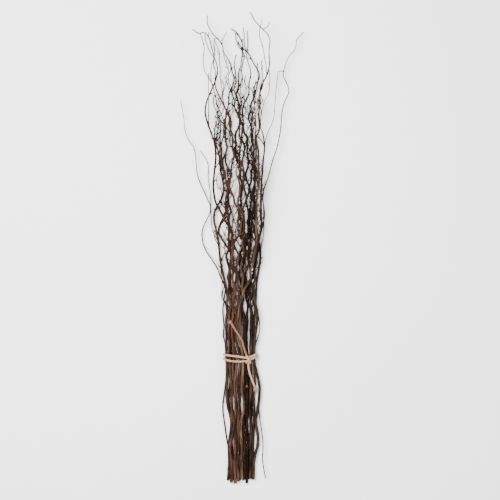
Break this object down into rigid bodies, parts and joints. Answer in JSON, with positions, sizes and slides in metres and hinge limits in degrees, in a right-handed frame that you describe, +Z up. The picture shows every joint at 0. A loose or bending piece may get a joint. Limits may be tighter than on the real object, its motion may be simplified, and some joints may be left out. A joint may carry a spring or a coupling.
{
  "type": "bundle of willow stems",
  "caption": "Curly willow stems with their twigs, tied by a cord wrapped twice and knotted, lying on a surface with the cut ends together and the tips spread",
  "frame": {"origin": "middle of the bundle's bounding box, at its lowest point, on the surface that the bundle rests on", "axes": "+Y along the stems from the cut ends to the tips, +Z up from the surface, +X across the bundle to the right of the view in which the tips point up the page"},
  "size_m": [0.2912, 1.1004, 0.0868],
  "materials": {
    "bark": "dry dark brown bark, satin on the young wood",
    "bark_red": "dry reddish brown bark",
    "bark_light": "dry olive brown bark, worn lighter",
    "bark_dark": "dry grey-brown bark",
    "cord": "twisted natural fibre cord, matt"
  },
  "bodies": {
    "root": {"stem_01_left_curve": "bark", "stem_02_far_left": "bark", "stem_03_left_edge": "bark", "stem_04_reddish": "bark_red", "stem_05_left_middle": "bark", "stem_06_tall_left": "bark", "stem_07_centre": "bark", "stem_08_light_diagonal": "bark_light", "stem_09_right_edge": "bark_dark", "stem_10_right_middle": "bark", "stem_11_tall_centre": "bark", "stem_12_centre_right": "bark", "stem_13_right_back": "bark_dark", "stem_14_right_inner": "bark_dark", "stem_15_left_back": "bark", "stem_16_centre_back": "bark", "tie": "cord"}
  },
  "joints": []
}
